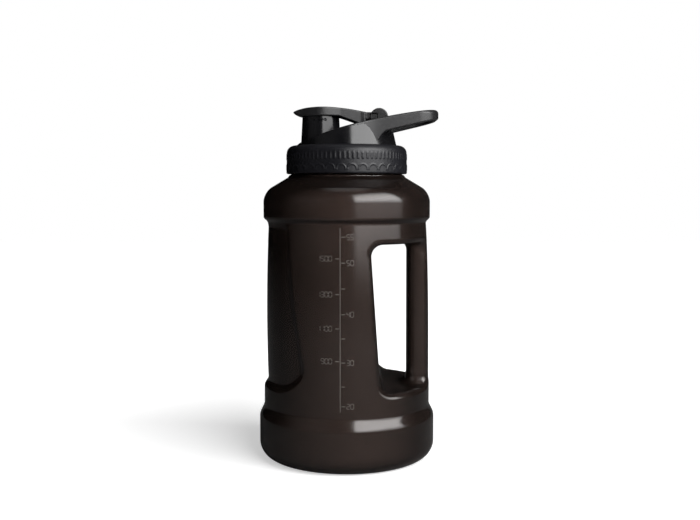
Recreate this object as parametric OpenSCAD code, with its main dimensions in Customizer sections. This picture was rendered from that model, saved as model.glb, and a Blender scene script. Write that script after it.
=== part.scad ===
// Large water jug with a moulded-in side handle, a screw lid, a flip cap and a carry loop.
// The origin is the centre of the base where the jug stands, and +Z is up.
// The drinking spout points to -X, and the handle and the carry loop are on the +X side.

/* [Jug body] */
// Diameter of the base band, the widest part of the jug
base_d = 132.5; // [115:0.1:160]
// Height of the jug from the floor to the edge of the shoulder
body_h = 200.6; // [160:0.1:240]
// Wall thickness of the blown shell
wall = 1.4; // [1:0.1:2.5]
// Height of the base band up to its sloping ledge
base_band_h = 34.4; // [26:0.1:45]
// How far the waist stands back from the base band at its foot
waist_step = 3.6; // [2.5:0.1:5]
// How much the waist narrows towards the top band
waist_taper = 3; // [1:0.1:5]
// Height of the smooth band under the shoulder
top_band_h = 19.8; // [12:0.1:30]
// How far the top band stands back from the base band
top_band_step = 3.6; // [2.5:0.1:6]
// Slope of the shoulder above the horizontal, in degrees
shoulder_slope = 31; // [20:1:45]
// Height of the hollow under the base, which leaves a standing ring
base_hollow = 5; // [3:0.5:8]

/* [Handle] */
// Depth of the grip bar from its inner face to the base band's radius
grip_depth = 20.7; // [16:0.1:26]
// Width of the grip bar across the jug
grip_w = 29.7; // [22:0.5:36]
// Gap for the fingers at the foot of the opening
finger_gap_low = 21.1; // [18:0.1:30]
// Gap for the fingers at the top of the opening
finger_gap_high = 28.6; // [18:0.1:36]
// Height of the opening's floor above the top of the base band
floor_rise = 22.4; // [16:0.1:30]
// Depth of the opening's roof below the edge of the shoulder
roof_drop = 37; // [30:0.1:50]
// Corner radius of the opening
opening_corner_r = 8; // [4:0.5:10]

/* [Grip panel] */
// Half width of the recessed panel at its top, opposite the handle
panel_half_top = 41.9; // [30:0.5:46]
// Half width of the recessed panel at its foot
panel_half_low = 55.2; // [40:0.5:56]
// How far the panel's face stands back from the base band's radius
panel_inset = 5.5; // [4.6:0.1:7]
// How much the panel's face bulges between its top and its foot
panel_bow = 1.2; // [0:0.1:2]

/* [Neck and thread] */
// Outside diameter of the neck under its thread
neck_d = 82.6; // [72:0.1:90]
// Height of the neck above the foot of the shoulder slope
neck_h = 16.4; // [14:0.5:22]
// Wall thickness of the neck
neck_wall = 2.2; // [1.6:0.1:3]
// Rise of the thread in one turn
thread_pitch = 5; // [4.5:0.1:6]
// Height of the neck's thread above the neck
thread_depth = 1.2; // [0.8:0.1:1.4]
// Turns of thread on the neck
neck_turns = 1.25; // [1:0.05:1.5]

/* [Lid] */
// Outside diameter of the screw collar
collar_d = 91.2; // [88:0.1:100]
// Height of the screw collar
collar_h = 21; // [19.5:0.1:26]
// Corner radius at the collar's top edge
collar_corner_r = 5.5; // [3:0.5:6]
// Gap between the shoulder and the collar
collar_gap = 2; // [1.5:0.1:4]
// Radial gap between each thread's crest and the wall that faces it
thread_gap = 0.45; // [0.35:0.05:0.6]
// Thickness of the neck gasket
gasket_h = 1.5; // [1:0.1:2.5]
// Diameter of the dome where it comes out of the collar
dome_d = 74.8; // [66:0.1:76]
// Draft of the dome's wall, in mm of radius for each mm of height
dome_draft = 0.23; // [0.1:0.01:0.25]
// Wall thickness of the dome
dome_wall = 2; // [1.5:0.1:3]
// Height of the rim above the collar at the back end of the carry loop
rim_rise = 25.5; // [20:0.1:30]
// How much the sloping top bulges above a straight line
rim_bulge = 3.4; // [2:0.1:5]

/* [Spout and cap] */
// Distance of the spout's axis in front of the jug's axis
spout_x = 19.4; // [17:0.1:21]
// Outside diameter of the spout at its mouth
spout_d = 27.3; // [22:0.1:28]
// Wall thickness of the spout
spout_wall = 2.4; // [1.8:0.1:3]
// Height of the spout's mouth above the collar
spout_rise = 24.1; // [21:0.1:26]
// Gap between the spout and the cap or its seal
cap_gap = 0.4; // [0.3:0.05:0.6]
// Wall thickness of the flip cap
cap_wall = 1.8; // [1.4:0.1:2.4]
// Height of the cap's crest above the spout's mouth
cap_rise = 4.3; // [3.8:0.1:6]
// How far the thumb tab reaches in front of the spout's axis
tab_reach = 21.3; // [19:0.1:26]
// Half width of the thumb tab
tab_half_w = 8; // [6:0.5:10]
// Distance of the hinge axis behind the jug's axis
hinge_x = 24.1; // [20:0.1:26]
// Height of the hinge axis above the collar
hinge_rise = 21; // [19:0.1:23]
// Radius of the cap's hinge knuckles
knuckle_r = 6.7; // [5:0.1:7]
// Half width of the hinge over both knuckles
hinge_half_w = 10.7; // [9:0.1:12]
// Thickness of the knuckles' closed outer ends, which hide the pin
knuckle_end = 1.7; // [1:0.1:2.5]
// Radius of the hinge pin
pin_r = 1.5; // [1:0.1:2]
// Radial gap between the pin and the knuckles that turn on it
pin_gap = 0.06; // [0.03:0.01:0.09]

/* [Carry loop] */
// Distance of the loop's end behind the jug's axis
loop_reach = 67.7; // [58:0.1:72]
// Half width of the loop where it leaves the dome
loop_half_w = 29.5; // [28:0.1:32]
// Half width of the loop near its end
loop_half_end = 27; // [22:0.1:28]
// Thickness of the loop's band
loop_band = 4.2; // [3:0.1:6]
// Height of the loop's band at its end
loop_end_h = 6.7; // [5:0.1:9]

/* [Printed scale] */
// Distance of the scale's line in front of the jug's axis
scale_x = 4.4; // [0:0.1:12]
// Width of the scale's line
line_w = 0.5; // [0.3:0.1:1]
// Thickness of the ink
ink = 0.12; // [0.08:0.01:0.2]
// Volume of the lowest mark, in fluid ounces
first_mark = 20; // [10:5:20]
// Volume of the highest mark, in fluid ounces
last_mark = 55; // [40:5:55]

/* [Hidden] */
$fn = 96;
cut = 0.5;
corner_steps = 6;

// Jug
base_r = base_d / 2;
waist_r = base_r - waist_step;
band_r = base_r - top_band_step;
neck_r = neck_d / 2;
ledge_h = 6;
waist_bottom = base_band_h + ledge_h;
waist_top = body_h - top_band_h - 2;
groove_r = waist_r - waist_taper;
neck_foot = body_h + (band_r - neck_r - 2) * tan(shoulder_slope);
neck_top = neck_foot + neck_h;
bead_r = neck_r + 2.1;
base_corner_r = 12.5;
waist_steps = 6;

// Handle
grip_x = base_r - grip_depth;
floor_z = base_band_h + floor_rise;
roof_z = body_h - roof_drop;
gap_low_x = grip_x - finger_gap_low;
gap_high_x = grip_x - finger_gap_high;
grip_corner_r = grip_w / 4;

// Grip panel
panel_mid_z = (waist_bottom + waist_top) / 2 + 8;
panel_foot = waist_bottom + 17;
panel_top = waist_top - 1;
panel_face_r = base_r - panel_inset;

// Lid stack
collar_r = collar_d / 2;
collar_bottom = neck_foot + collar_gap;
collar_top = collar_bottom + collar_h;
crest_r = neck_r + thread_depth;
collar_bore_r = crest_r + thread_gap;
collar_crest_r = neck_r + thread_gap;
tooth_w = 2.2;
tooth_tip_w = 1;
thread_start = collar_bottom + 2.6;
collar_turns = 1;
flange_bottom = neck_top + gasket_h;
flange_h = 2.2;
lip_bottom = flange_bottom + flange_h;
dome_r = dome_d / 2;

// Sloping top: one arc from the dome's front edge to the loop's end
rim_front = [-dome_r, collar_top + 0.8];
rim_back = [loop_reach - 5, collar_top + rim_rise];
rim_chord = norm(rim_back - rim_front);
rim_arc_r = rim_chord * rim_chord / (8 * rim_bulge) + rim_bulge / 2;
rim_dir = (rim_back - rim_front) / rim_chord;
rim_centre = (rim_front + rim_back) / 2 + [rim_dir.y, -rim_dir.x] * (rim_arc_r - rim_bulge);
rim_lip_w = 2.2;
rim_lip_h = 1.2;

// Spout, cap and hinge
spout_r = spout_d / 2;
spout_bore_r = spout_r - spout_wall;
spout_top = collar_top + spout_rise;
cap_top = spout_top + cap_rise;
skirt_bottom = spout_top - 2.3;
hinge_z = collar_top + hinge_rise;
lug_half_w = 4.8;
side_gap = 0.4;
knuckle_gap = 0.5;
knuckle_w = hinge_half_w - lug_half_w - side_gap;
pin_half = hinge_half_w - knuckle_end - 0.2;
seal_flange_h = 1.3;
seal_depth = 3;

// Carry loop
loop_end_z = rim_top_z(loop_reach - 5);
loop_low_z = loop_end_z - loop_end_h;
loop_root_in = 15.4;
loop_root_x = dome_r - loop_root_in;
loop_rise = 0.235;

function unit(v) = v / norm(v);

// Points of an arc of radius r that rounds the corner b between a and c
function corner_arc(a, b, c, r) =
    let (
        u = unit(a - b),
        v = unit(c - b),
        half = acos(u * v) / 2,
        centre = b + unit(u + v) * r / sin(half),
        p = b + u * r / tan(half),
        start = atan2(p.y - centre.y, p.x - centre.x),
        side = sign(cross(u, v)),
        sweep = -side * (180 - 2 * half)
    )
    [for (i = [0:corner_steps])
        centre + r * [cos(start + sweep * i / corner_steps), sin(start + sweep * i / corner_steps)]];

// Outline whose corners are rounded by the third number of each point
function rounded(points) =
    let (n = len(points))
    [for (i = [0:n - 1])
        let (
            here = [points[i].x, points[i].y],
            before = [points[(i + n - 1) % n].x, points[(i + n - 1) % n].y],
            after = [points[(i + 1) % n].x, points[(i + 1) % n].y]
        )
        each points[i][2] == 0 ? [here] : corner_arc(before, here, after, points[i][2])];

// Height of the lid's sloping top at a distance x behind the jug's axis
function rim_top_z(x) = rim_centre.y + sqrt(rim_arc_r * rim_arc_r - pow(x - rim_centre.x, 2));

// Radius of the waist at height z
function waist_at(z) =
    waist_r - waist_taper * pow((z - waist_bottom) / (waist_top - waist_bottom), 3);

// Half outline of the jug up to the foot of its neck, standing back from its outer surface by inset
function jug_outline(inset) = rounded(concat(
    [
        [0, base_hollow + inset, 0],
        [base_r - 26, base_hollow + inset, 5],
        [base_r - 18, inset, 2.5],
        [base_r - inset, inset, base_corner_r - inset],
        [base_r - inset, base_band_h - inset * 0.3, 4],
    ],
    [for (i = [0:waist_steps])
        let (z = waist_bottom + (waist_top - waist_bottom) * i / waist_steps)
        [waist_at(z) - inset, z, i == 0 ? 3.5 : i == waist_steps ? 1.4 : 0]],
    [
        [band_r - inset, waist_top + 2.4 + inset * 0.6, 2],
        [band_r - inset, body_h - inset * 0.8, 6],
        [neck_r + 2, neck_foot - inset, 0],
        [0, neck_foot - inset, 0],
    ]
));

// Solid of revolution of the jug, closed at the foot of the neck
module jug_revolve(inset) {
    rotate_extrude()
        polygon(jug_outline(inset));
}

// Space round the grip bar, grown by extra and open at the front, back and outer side
module handle_opening(extra) {
    outline = rounded([
        [gap_low_x - extra, floor_z - extra, opening_corner_r],
        [base_r + 5, floor_z - extra, 0],
        [base_r + 5, roof_z + extra, 0],
        [gap_high_x - extra, roof_z + extra, opening_corner_r],
    ]);
    translate([0, base_r + cut, 0])
        rotate([90, 0, 0])
            linear_extrude(2 * base_r + 2 * cut)
                polygon(outline);
}

// Column of the grip bar, thinner than its outside by inset, cut to the jug's own roundness
module grip_column(inset) {
    half = grip_w / 2 - inset;
    outline = rounded([
        [grip_x + inset, -half, grip_corner_r],
        [waist_r + 1.5 - inset, -half, grip_corner_r],
        [waist_r + 1.5 - inset, half, grip_corner_r],
        [grip_x + inset, half, grip_corner_r],
    ]);
    intersection() {
        translate([0, 0, floor_z - 8])
            linear_extrude(roof_z - floor_z + 16)
                polygon(outline);
        jug_revolve(inset);
    }
}

// Material taken off the jug in front of the grip panel's face
module panel_cut(extra) {
    outline = rounded([
        [-panel_half_top - extra, panel_top + extra, 6],
        [-panel_half_low - extra, panel_foot - extra, 20],
        [panel_half_low + extra, panel_foot - extra, 20],
        [panel_half_top + extra, panel_top + extra, 6],
    ]);
    face = [for (i = [0:waist_steps])
        let (z = panel_foot - 2 + (panel_top + 4 - panel_foot) * i / waist_steps)
        [panel_at(z) - extra, z]];
    intersection() {
        rotate([90, 0, -90])
            linear_extrude(base_r + cut)
                polygon(outline);
        rotate_extrude()
            polygon(concat(face, [[base_r + 5, panel_top + 2], [base_r + 5, panel_foot - 2]]));
    }
}

// Radius of the grip panel's face at height z
function panel_at(z) =
    panel_face_r - panel_bow * pow(2 * (z - panel_mid_z) / (panel_top - panel_foot), 2);

// One helical ridge from radius root to radius crest, starting at height z
module thread_ridge(root, crest, z, turns) {
    segments = 30;
    rings = round(turns * segments);
    fade = 4;
    grow = sign(crest - root);
    points = [for (i = [0:rings])
        let (
            a = 360 * i / segments,
            mid = z + thread_pitch * i / segments,
            share = min(1, (min(i, rings - i) + 0.6) / fade),
            tip = root + (crest - root) * share,
            base = root - grow * 0.4,
            foot = tooth_w / 2,
            nose = tooth_tip_w / 2
        )
        each [for (p = [[base, -foot], [tip, -nose], [tip, nose], [base, foot]])
            [p.x * cos(a), p.x * sin(a), mid + p.y]]];
    flip = grow < 0;
    sides = [for (i = [0:rings - 1]) for (k = [0:3])
        let (
            a = 4 * i + k,
            b = 4 * i + (k + 1) % 4,
            face = [a, b, b + 4, a + 4]
        )
        each [[face[0], face[1], face[2]], [face[0], face[2], face[3]]]];
    ends = [[0, 3, 2], [0, 2, 1], [4 * rings, 4 * rings + 1, 4 * rings + 2],
            [4 * rings, 4 * rings + 2, 4 * rings + 3]];
    faces = concat(sides, ends);
    polyhedron(points, flip ? [for (f = faces) [f[2], f[1], f[0]]] : faces);
}

module jug_body() {
    color([0.2, 0.17, 0.16, 0.8]) {
        difference() {
            union() {
                difference() {
                    jug_revolve(0);
                    handle_opening(0);
                    panel_cut(0);
                }
                grip_column(0);
                translate([0, 0, neck_foot - 1])
                    cylinder(r = bead_r, h = 1 + 1.2);
                translate([0, 0, neck_foot - 1])
                    cylinder(r = neck_r, h = neck_h + 1);
                thread_ridge(neck_r, crest_r, thread_start + thread_pitch / 2, neck_turns);
            }
            difference() {
                jug_revolve(wall);
                handle_opening(wall);
                panel_cut(wall);
            }
            grip_column(wall);
            translate([0, 0, neck_foot - wall - 4])
                cylinder(r = neck_r - neck_wall, h = neck_h + wall + 4 + cut);
        }
    }
}

// Area inside the jug at height z
function inside_area(z) =
    let (
        r = (z < base_band_h ? base_r : z < waist_top ? waist_at(max(z, waist_bottom)) : band_r) - wall,
        x = gap_low_x + (gap_high_x - gap_low_x) * (z - floor_z) / (roof_z - floor_z) - wall,
        in_gap = z > floor_z && z < roof_z,
        segment = r * r * acos(x / r) * PI / 180 - x * sqrt(r * r - x * x),
        grip = (grip_depth - waist_step - 2 * wall) * (grip_w - 2 * wall) * 0.86
    )
    PI * r * r - (in_gap ? segment - grip : 0);

// Height at which the jug holds the volume, counted in slices from height z up
function fill_height(volume, z = 3.5) =
    volume <= 0 ? z : fill_height(volume - inside_area(z), z + 1);

ml_in_floz = 29.5735;
mark_step = 5;
marks = [for (v = [first_mark:mark_step:last_mark]) fill_height(v * ml_in_floz * 1000)];
ml_marks = [for (v = [900:200:1700]) fill_height(v * 1000)];
tick_w = 2.8;
tick_gap = 0.7;

// Flat bar beside the scale's line, through the front wall
module printed_bar(x0, x1, z0, z1) {
    translate([x0 - scale_x, -base_r - 2, z0])
        cube([x1 - x0, base_r, z1 - z0]);
}

module scale_print() {
    ink_back = [for (i = [0:waist_steps])
        let (z = waist_bottom + (waist_top - waist_bottom) * i / waist_steps)
        [waist_at(z), z]];
    ink_face = [for (i = [waist_steps:-1:0]) [ink_back[i].x + ink, ink_back[i].y]];
    color([0.62, 0.6, 0.57])
        intersection() {
            rotate_extrude()
                polygon(concat(ink_back, ink_face));
            union() {
                printed_bar(-line_w / 2, line_w / 2, max(marks[0] - 4, waist_bottom + 2), waist_top - 3);
                for (z = marks)
                    printed_bar(tick_gap, tick_gap + tick_w, z - line_w / 2, z + line_w / 2);
                for (z = ml_marks)
                    if (z < waist_top - 3)
                        printed_bar(-tick_gap - tick_w, -tick_gap, z - line_w / 2, z + line_w / 2);
            }
        }
}

module neck_gasket() {
    color([0.12, 0.12, 0.12])
        translate([0, 0, neck_top])
            difference() {
                cylinder(r = neck_r, h = gasket_h);
                translate([0, 0, -cut])
                    cylinder(r = neck_r - neck_wall, h = gasket_h + 2 * cut);
            }
}

module lid_collar() {
    outline = rounded([
        [collar_bore_r, collar_bottom, 0],
        [collar_r, collar_bottom, 1],
        [collar_r - 0.3, collar_top, collar_corner_r],
        [dome_r + 0.1, collar_top, 0],
        [dome_r + 0.1, lip_bottom, 0],
        [collar_bore_r, lip_bottom, 0],
    ]);
    color([0.09, 0.09, 0.1]) {
        rotate_extrude()
            polygon(outline);
        thread_ridge(collar_bore_r, collar_crest_r, thread_start, collar_turns);
    }
}

// Cone of the dome from the collar up, standing back from its surface by inset
module dome_cone(inset) {
    tall = rim_rise + 6;
    translate([0, 0, collar_top])
        cylinder(r1 = dome_r - inset, r2 = dome_r - inset - tall * dome_draft, h = tall);
    translate([0, 0, lip_bottom - 2 * cut])
        cylinder(r = dome_r - inset, h = collar_top - lip_bottom + 2 * cut + 0.01);
}

// Everything under the lid's sloping top, lowered by drop
module under_slope(drop) {
    translate([rim_centre.x, 60, rim_centre.y])
        rotate([90, 0, 0])
            cylinder(r = rim_arc_r - drop, h = 120, $fn = 720);
}

module lid_dome() {
    color([0.05, 0.05, 0.06])
        difference() {
            union() {
                difference() {
                    intersection() {
                        dome_cone(0);
                        under_slope(0);
                    }
                    intersection() {
                        dome_cone(rim_lip_w);
                        difference() {
                            under_slope(-10);
                            under_slope(rim_lip_h);
                        }
                    }
                }
                translate([0, 0, flange_bottom])
                    cylinder(r = collar_bore_r - 0.2, h = flange_h);
                spout_tube();
                snap_beads();
                hinge_lug();
            }
            intersection() {
                union() {
                    dome_cone(dome_wall);
                    translate([0, 0, flange_bottom - cut])
                        cylinder(r = dome_r - dome_wall, h = flange_h + 2 * cut);
                }
                under_slope(rim_lip_h + dome_wall);
                hinge_pocket_roof();
            }
            knuckle_pocket();
            translate([-spout_x, 0, collar_top - 5])
                cylinder(r = spout_bore_r, h = spout_rise + 6);
            translate([hinge_x, pin_half, hinge_z])
                rotate([90, 0, 0])
                    cylinder(r = pin_r, h = 2 * pin_half);
        }
}

module spout_tube() {
    foot = collar_top + 2;
    intersection() {
        translate([-spout_x, 0, foot])
            cylinder(r1 = spout_r + 1.2, r2 = spout_r, h = spout_top - foot);
        translate([0, 0, foot - cut])
            cylinder(r = dome_r - 0.4, h = spout_rise);
    }
}

// Small raised bars on both sides of the spout that the cap's skirt clicks over
module snap_beads() {
    for (side = [-1, 1])
        translate([-spout_x - 4.5, side * (spout_r - 0.6) - 1.1, spout_top - 5.6])
            cube([9, 2.2, 1.1]);
}

module hinge_lug() {
    intersection() {
        union() {
            translate([hinge_x, lug_half_w, hinge_z])
                rotate([90, 0, 0])
                    cylinder(r = knuckle_r - 1, h = 2 * lug_half_w);
            translate([hinge_x - knuckle_r + 1, -lug_half_w, hinge_z - knuckle_r - 6])
                cube([2 * knuckle_r - 2, 2 * lug_half_w, knuckle_r + 6]);
        }
        translate([0, 0, collar_top + 1])
            cylinder(r = dome_r - 5, h = 60);
    }
}

// Room under the hinge for the cap's knuckles, on both sides of the lug
module knuckle_pocket() {
    for (side = [-1, 1])
        translate([hinge_x, side * (lug_half_w + hinge_half_w + 1) / 2, hinge_z])
            rotate([90, 0, 0])
                cylinder(r = knuckle_r + knuckle_gap, h = hinge_half_w + 1 - lug_half_w, center = true);
}

// Inside of the dome without the material that holds the hinge
module hinge_pocket_roof() {
    difference() {
        translate([0, 0, collar_top - 20])
            cylinder(r = dome_r, h = 80);
        translate([hinge_x, hinge_half_w + 3, hinge_z])
            rotate([90, 0, 0])
                cylinder(r = knuckle_r + knuckle_gap + 1.6, h = 2 * hinge_half_w + 6);
    }
}

// Side view of the carry loop, from its root on the dome to its end
module loop_side() {
    low_x = loop_root_x + 7;
    low_z = loop_low_z - (loop_reach - low_x) * loop_rise;
    outline = rounded([
        [0, collar_top + 0.2, 0],
        [loop_root_x, collar_top + 0.2, 0],
        [loop_root_x + 0.6, collar_top + 3.5, 4],
        [low_x, low_z, 7],
        [loop_reach, loop_low_z, 1],
        [loop_reach, loop_end_z + 3, 0],
        [0, loop_end_z + 3, 0],
    ]);
    translate([0, loop_half_w + 1, 0])
        rotate([90, 0, 0])
            linear_extrude(2 * loop_half_w + 2)
                polygon(outline);
}

// Plan of the loop, standing in from its outside by inset
module loop_plan(inset) {
    outline = rounded([
        [0, -loop_half_w + inset, 0],
        [loop_root_x, -loop_half_w + inset, 60],
        [loop_reach - inset, -loop_half_end + inset, 15 - inset],
        [loop_reach - inset, loop_half_end - inset, 15 - inset],
        [loop_root_x, loop_half_w - inset, 60],
        [0, loop_half_w - inset, 0],
    ]);
    translate([0, 0, collar_top - 1])
        linear_extrude(rim_rise + 10)
            polygon(outline);
}

module carry_loop() {
    color([0.16, 0.16, 0.17])
        difference() {
            intersection() {
                loop_side();
                difference() {
                    loop_plan(0);
                    loop_plan(loop_band);
                }
                under_slope(0);
            }
            dome_cone(0);
        }
}

// Side view of the flip cap between its crest and its underside
module cap_side() {
    front = -spout_x - tab_reach;
    outline = rounded([
        [front, spout_top + 0.9, 0.4],
        [front + 4.5, skirt_bottom + 0.4, 1.5],
        [-spout_x - spout_r, skirt_bottom, 0],
        [-spout_x + spout_r + 0.5, skirt_bottom - 0.3, 4],
        [hinge_x - 15.5, rim_top_z(hinge_x - 15.5) + 0.6, 1],
        [hinge_x - 9.8, rim_top_z(hinge_x - 9.8) + 0.6, 1],
        [hinge_x - 9.8, hinge_z + 4.2, 1],
        [hinge_x - 18, cap_top - 1.4, 24],
        [-spout_x + 2, cap_top + 0.5, 60],
        [front + 5, cap_top - 1.6, 6],
    ]);
    translate([0, 30, 0])
        rotate([90, 0, 0])
            linear_extrude(60)
                polygon(outline);
}

// Plan of the flip cap: a thumb tab, a round head over the spout and an arm to the hinge
module cap_plan(inset) {
    head_r = spout_r + cap_gap + cap_wall - inset;
    tab_r = 5 - inset;
    tab_centre = [-spout_x - tab_reach + 5, tab_half_w - 5];
    half = concat(
        [for (i = [0:4]) tab_centre + tab_r * [cos(180 - 20 * i), sin(180 - 20 * i)]],
        [for (i = [0:8]) [-spout_x + head_r * cos(130 - 9 * i), head_r * sin(130 - 9 * i)]],
        [[hinge_x - 14, hinge_half_w - inset], [hinge_x, hinge_half_w - inset]]
    );
    other_half = [for (i = [len(half) - 1:-1:0]) [half[i].x, -half[i].y]];
    translate([0, 0, collar_top])
        linear_extrude(60)
            polygon(concat(half, other_half));
}

// Side view of the hollow under the cap, which opens downwards
module cap_hollow_side() {
    front = -spout_x - spout_r - cap_gap;
    roof = spout_top + seal_flange_h + 0.01;
    back = hinge_x - 12;
    translate([0, 30, 0])
        rotate([90, 0, 0])
            linear_extrude(60)
                polygon([[front, collar_top], [front, roof], [-spout_x + spout_r, roof],
                         [back, hinge_z + 1.6], [back, collar_top]]);
}

// Link between the arm and the two knuckles
module hinge_link() {
    for (side = [-1, 1])
        translate([hinge_x - 12, side > 0 ? lug_half_w + side_gap : -hinge_half_w + 1.6, hinge_z - 0.5])
            cube([12, hinge_half_w - 1.6 - lug_half_w - side_gap, 4.2]);
}

module flip_cap() {
    color([0.17, 0.17, 0.18])
        difference() {
            union() {
                intersection() {
                    cap_side();
                    cap_plan(0);
                }
                hinge_link();
                for (side = [-1, 1])
                    translate([hinge_x, side * (lug_half_w + side_gap + hinge_half_w) / 2, hinge_z])
                        rotate([90, 0, 0])
                            cylinder(r = knuckle_r, h = knuckle_w, center = true);
            }
            intersection() {
                cap_hollow_side();
                cap_plan(cap_wall);
            }
            translate([hinge_x, hinge_half_w - knuckle_end, hinge_z])
                rotate([90, 0, 0])
                    cylinder(r = pin_r + pin_gap, h = 2 * (hinge_half_w - knuckle_end));
        }
}

module spout_seal() {
    color([0.1, 0.1, 0.1])
        translate([-spout_x, 0, 0]) {
            difference() {
                translate([0, 0, spout_top - seal_depth])
                    cylinder(r = spout_bore_r - cap_gap, h = seal_depth + 0.01);
                translate([0, 0, spout_top - seal_depth - cut])
                    cylinder(r = spout_bore_r - cap_gap - 1.6, h = seal_depth + cut);
            }
            translate([0, 0, spout_top + 0.01])
                cylinder(r = spout_r - 0.4, h = seal_flange_h);
        }
}

module hinge_pin() {
    color([0.75, 0.75, 0.77])
        translate([hinge_x, pin_half, hinge_z])
            rotate([90, 0, 0])
                cylinder(r = pin_r, h = 2 * pin_half);
}

jug_body();
scale_print();
neck_gasket();
lid_collar();
lid_dome();
carry_loop();
flip_cap();
spout_seal();
hinge_pin();
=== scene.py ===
# %% [markdown]
# # A two-litre water jug with a screw lid
#
# The real object is a blow-moulded jug of smoke-tinted plastic with a grip bar moulded into its side and a
# black screw lid with a carry loop, a drinking spout and a cap that flips up. The measured frame from the CAD
# model is loaded first, and every piece below is shaped round it, so nothing here has to be fitted by eye.

# %% Load the frame
import math

import bmesh
import bpy
import numpy as np
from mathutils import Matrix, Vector


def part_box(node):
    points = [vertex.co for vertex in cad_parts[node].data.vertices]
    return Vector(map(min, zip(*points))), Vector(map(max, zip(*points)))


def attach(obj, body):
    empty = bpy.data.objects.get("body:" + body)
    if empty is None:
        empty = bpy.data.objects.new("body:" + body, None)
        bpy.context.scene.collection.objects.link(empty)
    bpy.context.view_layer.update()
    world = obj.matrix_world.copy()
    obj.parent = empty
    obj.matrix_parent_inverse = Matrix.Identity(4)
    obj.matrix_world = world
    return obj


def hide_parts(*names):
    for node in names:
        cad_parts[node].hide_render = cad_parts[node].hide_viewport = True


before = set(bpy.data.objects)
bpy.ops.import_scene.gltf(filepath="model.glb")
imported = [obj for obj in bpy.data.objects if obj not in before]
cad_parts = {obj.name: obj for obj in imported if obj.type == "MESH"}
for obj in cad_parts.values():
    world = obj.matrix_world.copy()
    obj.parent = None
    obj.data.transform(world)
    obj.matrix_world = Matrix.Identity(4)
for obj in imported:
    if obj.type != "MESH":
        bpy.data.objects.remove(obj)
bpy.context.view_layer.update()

MM = 0.001
print("frame pieces:", ", ".join(sorted(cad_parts)))

# %% [markdown]
# ## Sizes
#
# The frame gives the overall sizes of each piece. I work in millimetres and turn to metres only when a mesh
# is made, because the small radii of plastic parts read best that way. Details that a box can't give, such
# as how far the waist steps in, get a name of their own in the piece's own cell.

# %% Read the sizes of the pieces


def box_mm(name):
    """Lowest and highest corner of a frame piece in millimetres."""
    low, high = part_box(name)
    return Vector(low) / MM, Vector(high) / MM


_, jug_high = box_mm("jug_body")
collar_low, collar_high = box_mm("lid_collar")
dome_low, dome_high = box_mm("lid_dome")
loop_low, loop_high = box_mm("carry_loop")
cap_low, cap_high = box_mm("flip_cap")
seal_low, seal_high = box_mm("spout_seal")
pin_low, pin_high = box_mm("hinge_pin")
_, gasket_high = box_mm("neck_gasket")

base_r = jug_high.y
neck_top = jug_high.z
neck_r = gasket_high.y
collar_r = collar_high.y
collar_bottom = collar_low.z
collar_top = collar_high.z
flange_bottom = dome_low.z
spout_x = -(seal_low.x + seal_high.x) / 2
spout_r = seal_high.y + 0.4
hinge_x = (pin_low.x + pin_high.x) / 2
hinge_z = (pin_low.z + pin_high.z) / 2
print(f"jug {2 * base_r:.1f} mm across, lid top at {cap_high.z:.1f} mm")
print(f"hinge at x {hinge_x:.1f} mm, z {hinge_z:.1f} mm")

# %% [markdown]
# ## Shapes as distance fields
#
# A blow-moulded part has no sharp corner anywhere: every face runs into the next with a soft radius. Bevels
# on a cut mesh struggle where three radii meet, so each moulded piece is written as a field instead: a
# formula that is negative inside the plastic and tells roughly how far the surface is. Two pieces join with
# a fillet, or cut each other with a rounded edge, by one small formula each.

# %% Formulas that join and cut with soft edges


def smooth_step(value, start, end):
    """Rises from 0 to 1 between start and end, level at both."""
    t = np.clip((value - start) / (end - start), 0, 1)
    return t * t * (3 - 2 * t)


def both(a, b, radius):
    """Inside both shapes, with the outer corner rounded."""
    corner = np.hypot(np.maximum(a + radius, 0), np.maximum(b + radius, 0))
    return np.minimum(np.maximum(a, b), -radius) + corner


def either(a, b, radius):
    """Inside either shape, with a fillet in the inner corner."""
    corner = np.hypot(np.maximum(radius - a, 0), np.maximum(radius - b, 0))
    return np.maximum(np.minimum(a, b), radius) - corner


def slab(value, low, high, radius):
    """Between low and high along one direction, as a field to combine with others."""
    return both(low - value, value - high, radius)


print("soft joins ready: both() for outer corners, either() for fillets")

# %% [markdown]
# ## From a field to a mesh
#
# Surface nets put one vertex in every cell of a grid that the surface crosses and join them with quads. The
# vertices are then pulled exactly onto the surface along the field's slope, evened out, and given the slope
# as their shading normal. That last step matters most on glossy plastic, where a reflection shows each facet.

# %% Surface nets

SLOPE_STEP = 0.02
CORNERS = [(i, j, k) for i in (0, 1) for j in (0, 1) for k in (0, 1)]
CELL_EDGES = [(a, b) for a in CORNERS for b in CORNERS
              if sum(b) - sum(a) == 1 and all(q >= p for p, q in zip(a, b))]


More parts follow.
